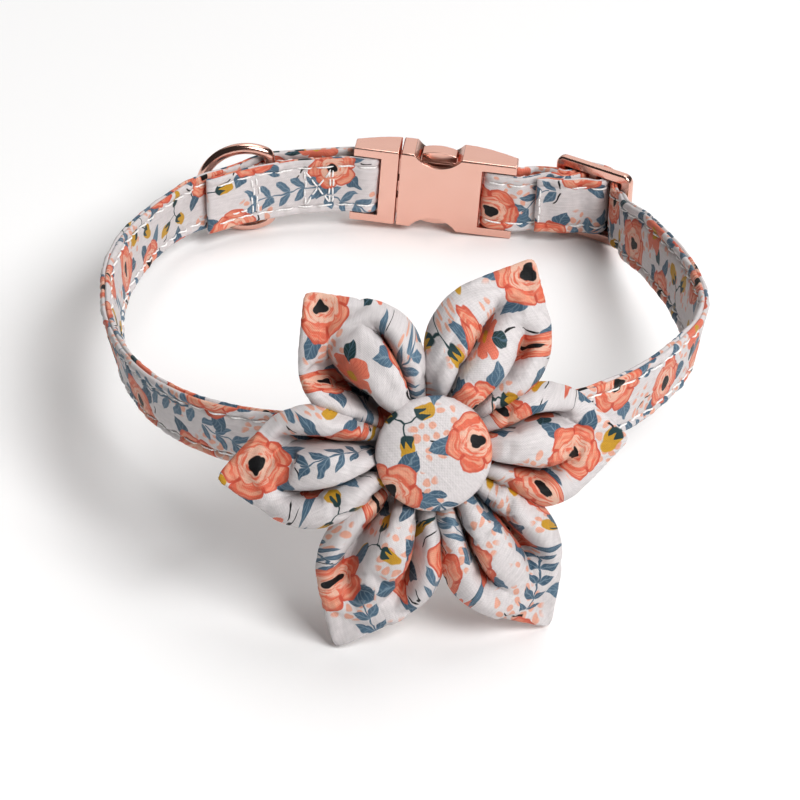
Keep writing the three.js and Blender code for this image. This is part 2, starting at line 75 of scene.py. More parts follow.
# The six petals: degrees round the flower, tip distance, how far the tip lies in front of the petal
# plane, depth of the cup, and the valleys between their gathers. A valley is its place across the
# petal at the foot and where it ends (-1 to 1), where it ends along the petal, its width and depth.
PETALS = [
    ("petal_1", 124.8, 40.6, 1, 3, [(0.36, 0.5, 0.88, 4.4, 1.25), (-0.46, -0.5, 0.7, 1.6, 0.9)]),
    ("petal_2", 57.5, 43.6, 1, 2.4, [(0.34, 0.06, 0.88, 2.2, 1), (-0.5, -0.5, 0.74, 2.3, 0.9)]),
    ("petal_3", -2.3, 41.2, 1, 2, [(0.44, 0.44, 0.8, 2.1, 1), (-0.4, -0.4, 0.78, 2.4, 1)]),
    ("petal_4", -59.9, 48, -6.6, 2, [(0.3, 0.44, 0.8, 3, 1), (-0.36, -0.44, 0.74, 2.2, 0.9)]),
    ("petal_5", -116.4, 46.6, -6.2, 2.6, [(0.4, 0.5, 0.82, 2.7, 1), (-0.42, -0.45, 0.84, 3.4, 1)]),
    ("petal_6", -176.1, 43.5, 2, 2, [(0.3, 0.4, 0.82, 2.2, 1), (-0.38, -0.42, 0.86, 3.2, 1)]),
]

# The strap's middle line where it hangs free: x, y, z, and the degrees its top edge tips outwards.
HOOP = [
    (-48.1, 69.9, 12.3, 0), (-52.4, 63.8, 13.6, -8), (-55.6, 57, 14.9, -9), (-58.9, 48.5, 16.5, -4),
    (-61.7, 39, 18.3, 3), (-63.8, 29.5, 20.1, 6), (-64.8, 20, 21.9, 8), (-65.1, 11, 23.5, 10),
    (-64.5, 2, 25.2, 12), (-62.4, -16.5, 28.6, 11), (-57.3, -34.5, 31.9, 13), (-51, -47, 34.1, 12),
    (-42.4, -56.8, 35.9, 10), (-36, -61.3, 36.7, 8), (-29, -64.3, 37.2, 6), (-18, -66.3, 37.5, 3),
    (-6.5, -66.6, 37.6, 0), (5.1, -65.6, 37.5, 0), (14, -64.3, 37.3, 1), (21.7, -62.5, 36.9, 2),
    (34.5, -56.5, 35.9, 3), (45.5, -47.5, 34.2, 3), (52.9, -38, 32.5, 3), (58.6, -28, 30.7, 7),
    (62.9, -18, 28.9, 10), (64.9, -8, 27.1, 11), (64.9, 2, 25.2, 12), (63.8, 12, 23.4, 12),
    (62.1, 22, 21.6, 10), (59.4, 32, 19.8, 8), (56.5, 43, 17.4, 5), (54.2, 49.3, 15.6, 2),
    (52.8, 55, 13.8, 0), (52.1, 61.5, 12, 0),
]
# The doubled strap behind the D-ring, and its weave through the slider.
SEWN_LAYER = [
    (-46.7, 67.7, 12.2), (-42.2, 70.4, 12.2), (-37, 73.2, 12.2), (-31.3, 75.1, 12.3),
    (-25, 76.6, 12.5), (-17.5, 77.1, 12.8),
]
OVER_RING = [
    (-17.5, 81.6, 12.8), (-24.5, 81.2, 12.5), (-29, 80.9, 12.3), (-32.5, 80.4, 12.3),
    (-35.8, 78.4, 12.2), (-39, 75.6, 12.2), (-43.4, 72.7, 12.2),
]
THROUGH_SLIDER = [
    (8.2, -4.1), (6.1, -1.6), (5.2, 0.6), (4.2, 2.6), (2.7, 4.2), (0, 4.7), (-2.8, 4.3),
    (-4.4, 2.7), (-5.1, 0.7), (-5.8, -1.2), (-7.1, -2.3), (-9.2, -2.5),
]
ROUND_CENTRE_BAR = [(-9, -4.8), (-6.5, -4.6), (-4.3, -2.8), (-3.1, -0.5), (-2.4, 1.2), (-1.4, 2.3)]
TURNED_END = [(-1.3, -3), (-4, -5.3), (-6.6, -6.75), (-8.8, -7.5), (-10.9, -9)]

# Half of one face's section: distance from the middle of the strap's width, and height as a share
# of half the thickness. The face dips at the stitch row and puffs up at the edge, and the two
# cloths meet in a crease on the edge itself.
EDGE = [
    (7.02, 0.0), (7.34, 0.1), (7.48, 0.3), (7.46, 0.56), (7.3, 0.79), (7.0, 0.96), (6.6, 1.07),
    (6.15, 1.04), (5.8, 0.9), (5.55, 0.68), (5.35, 0.58), (5.15, 0.68), (4.85, 0.86), (4.4, 0.97),
    (3.6, 1.0), (2.6, 1.0), (1.3, 1.0), (0.0, 1.0),
]

CAMERA = Sizes(lens=163.8, above=radians(34.5), away=0.8, aim=(-0.0006, -0.0163, 0.015))


def paint(red, green, blue):
    """A dye or plating colour as it looks in daylight, 0 to 255, for a shader."""
    shares = (level / 255 for level in (red, green, blue))
    return tuple(c / 12.92 if c <= 0.04 else ((c + 0.055) / 1.055) ** 2.4 for c in shares)


COTTON = paint(233, 227, 227)
CORAL = paint(236, 122, 94)
DEEP_CORAL = paint(214, 92, 70)
PEACH = paint(243, 174, 146)
PALE_PEACH = paint(246, 200, 178)
SLATE = paint(104, 134, 156)
DARK_SLATE = paint(64, 94, 116)
GREEN = paint(40, 72, 74)
MUSTARD = paint(214, 166, 52)
SEED = paint(10, 9, 12)
ROSE_GOLD = paint(237, 194, 180)
WHITE = paint(244, 243, 242)


# ---- Finishes.
def operator(name, reflected=False):
    """One of the operators of a Shade, which adds the node that works it out."""

    def work(shade, *value):
        return worked(name, *value, shade) if reflected else worked(name, shade, *value)

    return work


class Shade:
    """A quantity on its way through a finish, so that shading is written as sums."""

    def __init__(self, finish, socket):
        self.finish, self.socket = finish, socket

    def other(self, name):
        return Shade(self.finish, self.socket.node.outputs[name])

    __add__, __radd__ = operator("ADD"), operator("ADD", True)
    __sub__, __rsub__ = operator("SUBTRACT"), operator("SUBTRACT", True)
    __mul__, __rmul__ = operator("MULTIPLY"), operator("MULTIPLY", True)
    __truediv__, __pow__, __abs__ = operator("DIVIDE"), operator("POWER"), operator("ABSOLUTE")
    __gt__, __lt__ = operator("GREATER_THAN"), operator("LESS_THAN")


class Finish:
    """One material, or the studio's sky, in the making."""

    def __init__(self, owner):
        self.owner = bpy.data.materials.new(owner) if isinstance(owner, str) else owner
        self.owner.use_nodes = True
        self.tree = self.owner.node_tree
        self.tree.nodes.clear()

    def node(self, kind, values=None, out=0, **settings):
        made = given(self.tree.nodes.new("ShaderNode" + kind), **settings)
        for name, value in (values or {}).items():
            socket = made.inputs[name]
            if isinstance(value, Shade):
                self.tree.links.new(value.socket, socket)
            elif socket.type == "VECTOR" and not hasattr(value, "__len__"):
                socket.default_value = (value, value, value)
            elif socket.type == "RGBA":
                socket.default_value = (*value[:3], 1)
            else:
                socket.default_value = value
        return Shade(self, made.outputs[out]) if made.outputs else made

    def surface(self, colour, rough, bump=None, **values):
        """Ends the finish in one Principled shader with these socket values."""
        named = {"Base Color": colour, "Roughness": rough, **({"Normal": bump} if bump else {})}
        named |= {name.replace("_", " "): value for name, value in values.items()}
        self.node("OutputMaterial", {"Surface": self.node("BsdfPrincipled", named)})
        return self.owner


def given(owner, **settings):
    """The owner, with these of its settings changed."""
    for name, value in settings.items():
        setattr(owner, name, value)
    return owner


def worked(operation, *values):
    """A sum on numbers, or on vectors where one of the values is one."""
    shades = [v for v in values if isinstance(v, Shade)]
    many = any(v.socket.type in ("VECTOR", "RGBA") for v in shades)
    many |= any(hasattr(v, "__len__") for v in values)
    out = 1 if operation in ("LENGTH", "DOT_PRODUCT") else 0
    kind = "VectorMath" if many else "Math"
    return shades[0].finish.node(kind, dict(enumerate(values)), out, operation=operation)


def mixed(share, first, second):
    """The colour first where share is 0, and second where it is 1."""
    return share.finish.node("Mix", {0: share, 6: first, 7: second}, 2, data_type="RGBA")


def inside(depth, soft=0.14):
    """1 where depth is above 0 and 0 elsewhere, with a soft edge."""
    values = {0: depth, 1: 1 / soft, 2: 0.5}
    return depth.finish.node("Math", values, operation="MULTIPLY_ADD", use_clamp=True)


def noise(place, size, detail=2, dimensions="3D", **more):
    """Soft patches of about that size, in the units of place, from 0 to 1."""
    values = {"Vector": place, "Scale": 1 / size, "Detail": detail, **more}
    return place.finish.node("TexNoise", values, noise_dimensions=dimensions)


def bumped(height, strength, distance):
    """A surface raised by height, up to a distance in metres."""
    values = {"Strength": strength, "Distance": distance, "Height": height}
    return height.finish.node("Bump", values)


def split(vector):
    """A vector's X, whose other parts are its Y and Z."""
    return vector.finish.node("SeparateXYZ", {"Vector": vector})


class Motif:
    """A motif drawn once in every cell of a square lattice, shifted and turned at random."""

    def __init__(self, cloth, pitch, turn, shift, play, seed):
        node = cloth.finish.node
        spread = {"Vector": cloth, "Location": (*shift, 0), "Rotation": (0, 0, radians(turn))}
        lattice = node("Mapping", {**spread, "Scale": (1 / pitch, 1 / pitch, 0)})
        self.cell = worked("FLOOR", lattice)
        dice = node("TexWhiteNoise", {"Vector": self.cell + (0, 0, seed)}, 1)
        drawn = node("SeparateColor", {"Color": dice})
        self.kind = drawn.other("Blue")
        self.size = drawn.other("Green") * 0.24 + 0.88
        local = (lattice - self.cell - (0.5, 0.5, 0)) * pitch
        local = (local - (dice - (0.5, 0.5, 0.5)) * (play, play, 0)) / self.size
        values = {"Vector": local, "Angle": drawn.other("Red") * (2 * pi)}
        turned = node("VectorRotate", values, rotation_type="Z_AXIS")
        self.x = split(turned)
        self.y = self.x.other("Y")
        self.radius = worked("LENGTH", turned)
        self.angle = worked("ARCTAN2", self.y, self.x)

    def spokes(self, count):
        """Distance along and across the nearest of some spokes, and which spoke it is."""
        spoke = worked("ROUND", self.angle * (count / (2 * pi)))
        off = self.angle - spoke * (2 * pi / count)
        return self.radius * worked("COSINE", off), self.radius * worked("SINE", off), spoke

    def lobes(self, count, turn=0.0):
        """1 in the middle of each of some petals, and 0 between them."""
        return abs(worked("COSINE", self.angle * (count / 2) + turn))


def leaf(along, across, start, length, half):
    """A pointed leaf along a line: its mask, and its veins."""
    share = (along - (start + length / 2)) * (2 / length)
    mask = inside((1 - share * share) * (half - 0.2 * half * share) - abs(across))
    rib = inside(0.1 - abs(across), 0.1)
    veins = worked("SINE", (along - abs(across) * 1.3) * 6.5)
    return mask, worked("MAXIMUM", rib, inside(veins - 0.62, 0.5) * 0.55)


def blooms(cloth, ground):
    """Round blooms with two rings of petals and a dark middle, on leaves."""
    node = cloth.finish.node
    motif = Motif(cloth, PRINT.repeat, PRINT.lattice, (0.21, 0.4), 1.4, 3)
    along, across, spoke = motif.spokes(5)
    grown = node("TexWhiteNoise", {"Vector": motif.cell + spoke * (0, 0, 1.7)})
    mask, veins = leaf(along, across, 3.4, 5.0, 1.5)
    green = mixed(veins * 0.6, mixed(grown, SLATE, DARK_SLATE), paint(150, 172, 184))
    ground = mixed(mask * (grown > 0.28), ground, green)

    lobes = motif.lobes(5)
    edge = 4.35 + 0.95 * lobes**0.5
    sheet = {"X": motif.angle * 0.9, "Y": motif.radius * 1.9, "Z": motif.kind * 9}
    streaks = noise(node("CombineXYZ", sheet), 1.0)
    outer = mixed(inside(streaks - 0.5, 0.16), PEACH, CORAL)
    parting = inside(0.3 - lobes * motif.radius * 0.4, 0.2)
    rim = inside(0.42 - (edge - motif.radius), 0.3)
    outer = mixed(worked("MAXIMUM", parting, rim * 0.8), outer, DEEP_CORAL)
    inner_edge = 2.75 + 0.6 * motif.lobes(5, pi / 2) ** 0.5
    inner = mixed(inside(streaks - 0.56, 0.14), PALE_PEACH, CORAL)
    inner = mixed(inside(0.24 - (inner_edge - motif.radius), 0.2), inner, CORAL)
    bloom = mixed(inside(inner_edge - motif.radius), outer, inner)
    bloom = mixed(inside(1.05 + 0.3 * motif.lobes(3) - motif.radius), bloom, SEED)
    return mixed(inside(edge - motif.radius), ground, bloom)


def sprigs(cloth, ground):
    """Between the blooms: a leafy sprig, three buds on a stalk, or a small open flower."""
    motif = Motif(cloth, PRINT.repeat, PRINT.lattice, (0.71, 0.9), 2.4, 8)
    spacing, tilt = 3.1, radians(48)
    pair = worked("ROUND", motif.x * (1 / spacing))
    base = motif.x - pair * spacing + 1.15
    side = abs(motif.y)
    along = base * cos(tilt) + side * sin(tilt)
    across = side * cos(tilt) - base * sin(tilt)
    mask, veins = leaf(along, across, 0.1, 3.5, 0.78)
    stem = inside(0.15 - side, 0.1) * inside(6.2 - abs(motif.x))
    mask = worked("MAXIMUM", mask * (abs(pair) < 2.5), stem)
    green = mixed(motif.size * 3 - 2.4, DARK_SLATE, SLATE)
    green = mixed(veins * 0.5, green, paint(158, 178, 190))
    ground = mixed(mask * (motif.kind < 0.42), ground, green)

    along, across, _ = motif.spokes(3)
    egg = cloth.finish.node("CombineXYZ", {"X": (along - 4.1) * 0.62, "Y": across})
    body = inside(1.35 - worked("LENGTH", egg))
    stalk = inside(0.14 - abs(across), 0.1) * inside(2.4 - motif.radius)
    teeth = worked("COSINE", across * 5.2) * 0.7
    bud = mixed(inside(along - 3.5 + teeth, 0.2), GREEN, MUSTARD)
    chosen = (motif.kind > 0.42) * (motif.kind < 0.76)
    ground = mixed(worked("MAXIMUM", body, stalk) * chosen, ground, bud)

    along, across, _ = motif.spokes(2)
    mask, veins = leaf(along, across, 2.6, 4.0, 1.2)
    ground = mixed(mask * (motif.kind > 0.76), ground, mixed(veins * 0.6, GREEN, SLATE))
    edge = 2.3 + 1.7 * motif.lobes(5) ** 0.7
    fine = inside(worked("SINE", motif.angle * 40) - 0.5, 0.6) * 0.35
    flower = mixed(fine, paint(240, 138, 112), DEEP_CORAL)
    flower = mixed(inside(1.05 - motif.radius), flower, MUSTARD)
    return mixed(inside(edge - motif.radius) * (motif.kind > 0.76), ground, flower)


def berries(cloth, ground):
    """The smallest motifs: sprays of pale dots, and short dark strokes."""
    motif = Motif(cloth, PRINT.repeat / 2**0.5, 62, (0.35, 0.64), 2.0, 5)
    dots = Motif(cloth, 1.85, 31, (0.1, 0.3), 0.6, 2)
    spray = inside(5.2 - motif.radius, 0.6) * (motif.kind > 0.38)
    dot = inside(0.62 - dots.radius, 0.16) * (dots.kind > 0.26)
    ground = mixed(spray * dot * 0.85, ground, PEACH)
    bent = motif.y - motif.x * motif.x * 0.14 + 1.4
    stroke = inside(0.17 - abs(bent), 0.1) * inside(0.95 - abs(abs(motif.x) - 1.35), 0.2)
    return mixed(stroke * (motif.kind < 0.62), ground, SEED)


def printed_cotton():
    """Plain-weave cotton with a scattered floral print. The cloth map is in millimetres."""
    finish = Finish("printed_cotton")
    cloth = finish.node("UVMap", uv_map="cloth")
    weft = split(cloth)
    wander = noise(cloth, 3.4, 1, "2D").other("Color")
    drawn = (cloth + (wander - (0.5, 0.5, 0.5)) * (1.9, 1.9, 0)) / PRINT.scale
    dye = blooms(drawn, sprigs(drawn, berries(drawn, COTTON)))
    pitch = 2 * pi / PRINT.weave
    slub = noise(cloth * (0.12, 1.6, 0), 0.6, 2, "2D")
    threads = worked("SINE", weft * pitch + slub * 2.5)
    threads = threads * worked("SINE", weft.other("Y") * pitch + slub * 3)
    patches = noise(cloth, 1.1, 3, "2D")
    worn = 0.79 + threads * 0.05 + (patches - 0.5) * 0.16 + (slub - 0.5) * 0.2
    dye = dye * finish.node("CombineXYZ", {"X": worn, "Y": worn, "Z": worn})
    bump = bumped(threads * 0.5 + slub * 0.8 + patches * 0.35, 0.55, 0.00009)
    gloss = {"Specular_IOR_Level": 0.35, "Sheen_Weight": 0.02, "Sheen_Roughness": 0.4}
    return finish.surface(dye, 0.52 + (patches - 0.5) * 0.25, bump, **gloss)


def rose_gold(name, roughness, brushed):
    """Satin rose-gold plating, with a faint brushed grain."""
    finish = Finish(name)
    place = finish.node("TexCoord", out="Object")
    grain = noise(place * (900, 900, 9000), 1, 3)
    cloudy = noise(place, 0.006)
    tint = mixed(cloudy, ROSE_GOLD, paint(233, 187, 171))
    rough = roughness + (grain - 0.5) * 0.08 + (cloudy - 0.5) * 0.06
    return finish.surface(tint, rough, bumped(grain, brushed, 0.00002), Metallic=1.0)


def rose_gold_shaded_walls():
    """The unpolished walls inside the gaps and windows of the hardware: rougher than the plate, and
    tinted darker and redder as painted shade in the recesses.
    """
    finish = Finish("rose_gold_cast")
    grain = noise(finish.node("TexCoord", out="Object"), 0.0005, 3)
    # The darker, redder tint is painted shade for the recesses, not the plating's own colour; the
    # grain only varies it at random.
    tint = mixed(grain, paint(232, 128, 96), paint(206, 98, 70))
    return finish.surface(tint, 0.5 + grain * 0.15, bumped(grain, 0.4, 0.00005), Metallic=0.9)


def white_thread():
    """Twisted polyester sewing thread. Its map runs along and round each stitch, in millimetres."""
    finish = Finish("white_thread")
    run = split(finish.node("UVMap", uv_map="cloth"))
    twist = worked("SINE", run * 9 + run.other("Y") * 4.4)
    dye = mixed(inside(twist, 1.6) * 0.5, paint(252, 251, 250), paint(232, 229, 227))
    return finish.surface(dye, 0.5 - twist * 0.08, bumped(twist, 0.5, 0.00004), Sheen_Weight=0.1)


def felt_cloth():
    """Short-haired white felt."""
    finish = Finish("white_felt")
    place = finish.node("TexCoord", out="Object")
    hair = noise(place, 0.00035, 4, Distortion=1.5)
    patches = noise(place, 0.0025)
    dye = mixed(inside(hair - 0.5, 0.5) * 0.4 + patches * 0.25, WHITE, paint(205, 200, 198))
    bump = bumped(hair + patches, 0.8, 0.0002)
    return finish.surface(dye, 0.9 + (hair - 0.5) * 0.1, bump, Sheen_Weight=0.35)


def elastic():
    """Flat ribbed elastic. Its map runs along and across the band, in millimetres."""
    finish = Finish("white_elastic")
    run = split(finish.node("UVMap", uv_map="cloth"))
    ribs = worked("SINE", run.other("Y") * (2 * pi / BACKING.rib))
    picks = worked("SINE", run * (2 * pi / 0.55)) * ribs
    dye = mixed(inside(ribs * 0.7 + picks * 0.3, 1.5) * 0.5, paint(216, 212, 210), WHITE)
    bump = bumped(ribs + picks * 0.4, 0.7, 0.0002)
    return finish.surface(dye, 0.8 + picks * 0.05, bump, Sheen_Weight=0.15)


# ---- Making.
def put(name, data):
    """A new object in the scene."""
    made = bpy.data.objects.new(name, data)
    bpy.context.scene.collection.objects.link(made)
    return made


def mesh_piece(name, points, faces, finish, cloth=None):
    """A smooth mesh from points in millimetres. cloth holds each corner's place on the cloth."""
    mesh = bpy.data.meshes.new(name)
    mesh.from_pydata((np.asarray(points).reshape(-1, 3) * MM).tolist(), [], faces)
    if cloth is not None:
        corners = np.asarray(cloth, np.float32).reshape(-1)
        mesh.uv_layers.new(name="cloth").data.foreach_set("uv", corners)
    mesh.materials.append(finish)
    mesh.polygons.foreach_set("use_smooth", [True] * len(mesh.polygons))
    mesh.validate()
    shape = bmesh.new()
    shape.from_mesh(mesh)
    bmesh.ops.recalc_face_normals(shape, faces=shape.faces)
    shape.to_mesh(mesh)
    shape.free()
    return put(name, mesh)


def standing(centre, height, yaw, roll=0.0):
    """A frame that stands upright: x along the part, y outwards, z up."""
    made = np.array(Matrix.Rotation(radians(yaw), 4, "Z") @ Matrix.Rotation(radians(roll), 4, "Y"))
    made[:3, 3] = (*centre, height)
    return made


def moved(points, place):
    """Points in a local frame, brought into the collar's frame."""
    return np.asarray(points, float) @ place[:3, :3].T + place[:3, 3]


def unit(vectors):
    return vectors / norm(vectors, axis=-1, keepdims=True)


def smoothstep(value, low, high):
    share = np.clip((value - low) / (high - low), 0, 1)
    return share * share * (3 - 2 * share)


def ripple(x, y, wave, seed, count=6):
    """Soft waves of about that length in every direction, around 0 and about 1 high."""
    dice = np.random.default_rng(seed)
    total = 0
    for _ in range(count):
        heading, start = dice.uniform(0, 2 * pi, 2)
        pace = 2 * pi / wave * dice.uniform(0.65, 1.5)
        total = total + np.sin(pace * (x * cos(heading) + y * sin(heading)) + start)
    return total / count**0.5


def travelled(points):
    """How far along a line of points each one is."""
    return np.concatenate([[0], np.cumsum(norm(np.diff(points, axis=0), axis=1))])


def arc(x, y, radius, start, end, count=5):
    """Points of an arc, from one angle in degrees to another."""
    angles = np.radians(np.linspace(start, end, count))
    return [(x + radius * cos(a), y + radius * sin(a)) for a in angles]


def whole_turn(count):
    return np.linspace(0, 2 * pi, count, endpoint=False)


def ring_of(radius, angles, height):
    x, y = radius * np.cos(angles), radius * np.sin(angles)
    return np.stack([x, y, height + 0 * x], -1)


def circles(first, second, count):
    """A circle of points round each place of a line, from two directions across the line."""
    angles = whole_turn(count)[None, :, None]
    return np.cos(angles) * first[:, None] + np.sin(angles) * second[:, None]


def tube_faces(rings, around, ends="open"):
    """Quads over rings of points. The tube is open or capped, or its last ring joins its first."""
    faces = []
    for ring in range(rings if ends == "joined" else rings - 1):
        here, after = ring * around, (ring + 1) % rings * around
        for k in range(around):
            nxt = (k + 1) % around
            faces.append((here + k, here + nxt, after + nxt, after + k))
    if ends == "capped":
        last = (rings - 1) * around
        faces += [tuple(range(around)), tuple(range(last, last + around))]
    return faces


def cloth_map(places):
    """Each quad's four corners on the cloth, from a grid of places that covers every quad."""
    return np.stack([places[:-1, :-1], places[:-1, 1:], places[1:, 1:], places[1:, :-1]], 2)


def cloth_grid(along, across):
    return np.stack(np.meshgrid(along, across, indexing="ij"), -1)


def doubled_cloth(name, points, sides, finish):
    """A flattened tube of cloth, closed straight across at both ends. sides holds the places on the
    cloth of its front and its back, in the order of the points round each ring."""
    rings, around = len(sides[0]), 2 * sides[0].shape[1] - 2
    faces = tube_faces(rings, around)
    corners = [np.concatenate([cloth_map(side) for side in sides], axis=1).reshape(-1, 2)]
    for i in (0, rings - 1):
        for k in range(around // 2):
            ring = tuple(dict.fromkeys((k, k + 1, around - k - 1, (around - k) % around)))
            faces.append(tuple(i * around + r for r in (ring if i else ring[::-1])))
            corners.append([sides[0][i, k]] * len(ring))
    return mesh_piece(name, points, faces, finish, np.vstack(corners))


# ---- The strap's run.
def hardware_frame(part):
    """Where the buckle or the slider stands, with the lower corner of its end on the ground."""
    roll = radians(part.roll)
    height = part.height / 2 * cos(roll) + part.end * sin(roll)
    return standing(part.at, height, part.yaw, part.roll)


def on_hardware(part, points):
    place = hardware_frame(part)
    local = [(x, y, 0) for x, y in points]
    return [(point, place[:3, 2], STRAP.pressed) for point in moved(local, place)]


def upright(points):
    return [(np.array(point, float), np.array([0, 0, 1.0]), STRAP.pressed) for point in points]


def on_hoop():
    places = np.array([row[:3] for row in HOOP], float)
    last = len(HOOP) - 1
    stations = []
    for i, row in enumerate(HOOP):
        along = unit(places[min(i + 1, last)] - places[max(i - 1, 0)])
        outward = unit(np.array([along[1], -along[0], 0]))
        lean = radians(row[3])
        up = np.cross(outward, along) * cos(lean) + outward * sin(lean)
        stations.append((places[i], up, STRAP.pressed if i in (0, last) else STRAP.thick))
    return stations


def strap_stations():
    """Places along the strap's middle, each with the direction of its width and its thickness."""
    wrap = PLUG_BAR.half + GAP + STRAP.pressed / 2
    plug_turn = PLUG_BAR.window - SNUG - STRAP.pressed / 2 - wrap
    socket_turn = SOCKET_BAR.window + SNUG + STRAP.pressed / 2 + wrap
    plug_bar = (PLUG_BAR.start + PLUG_BAR.end) / 2 - 1
    socket_bar = (SOCKET_BAR.start + SOCKET_BAR.end) / 2
    beyond = BUCKLE.end + 0.8
    round_plug = [(plug_bar, -wrap), *arc(plug_turn, 0, wrap, -90, 90), (plug_bar, wrap)]
    into_socket = [(beyond + 3.2, wrap + 1.3), (beyond, wrap), (socket_bar, wrap)]
    out_of_socket = [(socket_bar, -wrap), (beyond, -wrap - 0.1)]
    socket = [*into_socket, *arc(socket_turn, 0, wrap, 90, 270), *out_of_socket]
    centre_turn = arc(SLIDER_TURN.at, 0, SLIDER_TURN.wrap, 90, -90)
    return [
        *upright(SEWN_LAYER),
        *on_hardware(BUCKLE, round_plug),
        *upright(OVER_RING),
        *on_hoop(),
        *on_hardware(SLIDER, THROUGH_SLIDER),
        *on_hardware(BUCKLE, socket),
        *on_hardware(SLIDER, [*ROUND_CENTRE_BAR, *centre_turn, *TURNED_END]),
    ]


def eased(ups):
    """Lets the direction of the strap's width turn gradually from one station to the next."""
    padded = np.vstack([ups[:1], ups, ups[-1:]])
    return unit(padded[:-2] + 2 * padded[1:-1] + padded[2:])


def smooth_run(points, steps):
    """A centripetal Catmull-Rom curve through the points, with some steps in each span."""
    ends = np.vstack([2 * points[0] - points[1], points, 2 * points[-1] - points[-2]])
    share = np.linspace(0, 1, steps, endpoint=False)[:, None]
    made = []
    for p0, p1, p2, p3 in zip(ends, ends[1:], ends[2:], ends[3:]):
        spans = ((p0, p1), (p1, p2), (p2, p3))
        d0, d1, d2 = (max(norm(b - a) ** 0.5, 1e-4) for a, b in spans)
        t1 = ((p1 - p0) / d0 - (p2 - p0) / (d0 + d1) + (p2 - p1) / d1) * d1
        t2 = ((p2 - p1) / d1 - (p3 - p1) / (d1 + d2) + (p3 - p2) / d2) * d1
        cubic, square = 2 * p1 - 2 * p2 + t1 + t2, -3 * p1 + 3 * p2 - 2 * t1 - t2
        made.append(p1 + t1 * share + square * share**2 + cubic * share**3)
    return np.vstack([*made, points[-1:]])


def between(at, known, values):
    """Vectors read off at new places along the strap."""
    return np.stack([np.interp(at, known, values[:, k]) for k in range(3)], -1)


class Run:
    """The strap's middle line at even steps of its length, with its directions and thickness."""

    def __init__(self, stations, step):
        places, ups, thick = (np.array(part) for part in zip(*stations))
        line = smooth_run(places, 24)
        share = np.linspace(0, len(stations) - 1, len(line))
        index = np.arange(len(stations))
        length = travelled(line)
        self.length = length[-1]
        self.at = np.linspace(0, self.length, round(self.length / step) + 1)
        share = np.interp(self.at, length, share)
        self.place = between(self.at, length, line) + CENTRING
        self.along = unit(np.gradient(self.place, axis=0))
        self.up = unit(between(share, index, eased(eased(ups))))
        self.out = unit(np.cross(self.along, self.up))
        self.thick = np.interp(share, index, thick)

    def of(self, values, at):
        return between(at, self.at, values)

    def point(self, at, across, off):
        """A place on the strap: at along it, across it, and off its middle outwards."""
        across, off = np.asarray(across)[..., None], np.asarray(off)[..., None]
        return self.of(self.place, at) + self.of(self.up, at) * across + self.of(self.out, at) * off

    def nearest(self, layer, x):
        """How far along the strap it is, within one of its layers, to an x in the collar."""
        ends = [np.array(layer[i]) + CENTRING for i in (0, -1)]
        first, last = sorted(np.argmin(norm(self.place - end, axis=1)) for end in ends)
        part = slice(first, last + 1)
        return self.at[part][np.argmin(np.abs(self.place[part, 0] - CENTRING[0] - x))]


run = Run(strap_stations(), STRAP.step)


def puckers(at, across, face):
    """How far the stitches and the bends pull the cloth out of its plane, in millimetres."""
    reach = np.abs(np.abs(across) - STRAP.row)
    phase = 2 * pi * at / STRAP.pitch
    pinch = -0.2 * (0.5 + 0.5 * np.cos(phase)) ** 2 * np.exp(-((reach / 1.1) ** 2))
    drawn = 0.16 * ripple(at, across * 0.35, 3.1, 11 + face) * np.exp(-((reach / 2.2) ** 2))
    return pinch + drawn + 0.1 * ripple(at, across, 9.0, 23 + face)


def strap_piece(finish):
    across, height = np.array([(-e, h) for e, h in EDGE] + EDGE[-2::-1]).T
    end = np.minimum(run.at, run.length - run.at)
    tuck = 0.3 + 0.7 * np.sqrt(1 - (1 - np.clip(end / STRAP.end, 0, 1)) ** 2)
    off = (run.thick / 2 * tuck)[:, None] * height
    free = np.clip(height, 0, 1) * tuck[:, None]
    at = run.at[:, None]
    outer, inner = (face * (off + puckers(at, across, face) * free) for face in (1, -1))
    outer = run.point(at, across, outer)[:, :-1]
    inner = run.point(at, across[::-1], inner[:, ::-1])[:, :-1]
    girth = travelled(np.stack([across, height], -1))
    sides = [cloth_grid(run.at, girth), cloth_grid(run.at, girth + CUT_AT.inner)]
    return doubled_cloth("strap_cloth", np.concatenate([outer, inner], axis=1), sides, finish)


